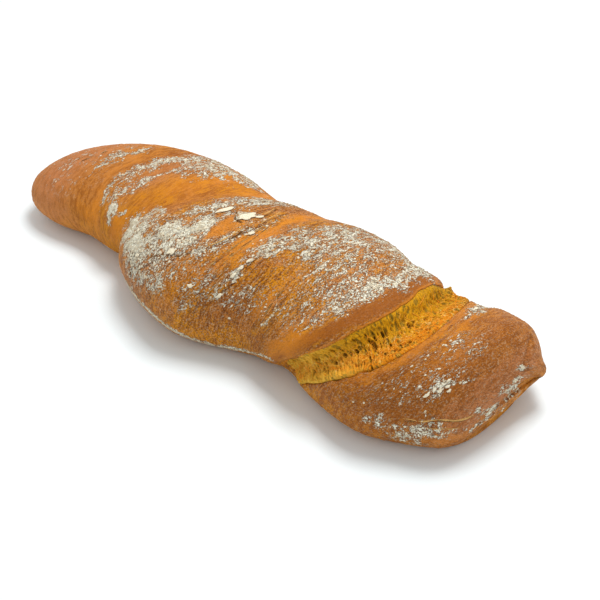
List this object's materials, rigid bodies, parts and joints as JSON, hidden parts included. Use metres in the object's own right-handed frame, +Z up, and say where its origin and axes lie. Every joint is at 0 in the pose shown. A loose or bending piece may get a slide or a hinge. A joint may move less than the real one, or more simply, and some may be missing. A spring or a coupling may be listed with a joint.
{
  "type": "spelt baguette",
  "caption": "Long twisted loaf with a flat base, winding grooves, a blunt end, a small tail at the other end and a burst seam showing torn crumb across its top and front.",
  "frame": {"origin": "middle of the footprint, on the surface that the loaf stands on", "axes": "+X along the loaf from its blunt end to its tail, +Z up, the burst seam's visible side towards -Y"},
  "size_m": [0.354, 0.1262, 0.0685],
  "materials": {
    "crust": "browned bread crust, dull with a faint sheen, streaked with dry flour",
    "crumb": "torn yellow-orange crumb with fine open pores, dull",
    "flour": "dry scales and dust of baked flour, dull"
  },
  "bodies": {
    "root": {"baguette": "crust"}
  },
  "joints": []
}
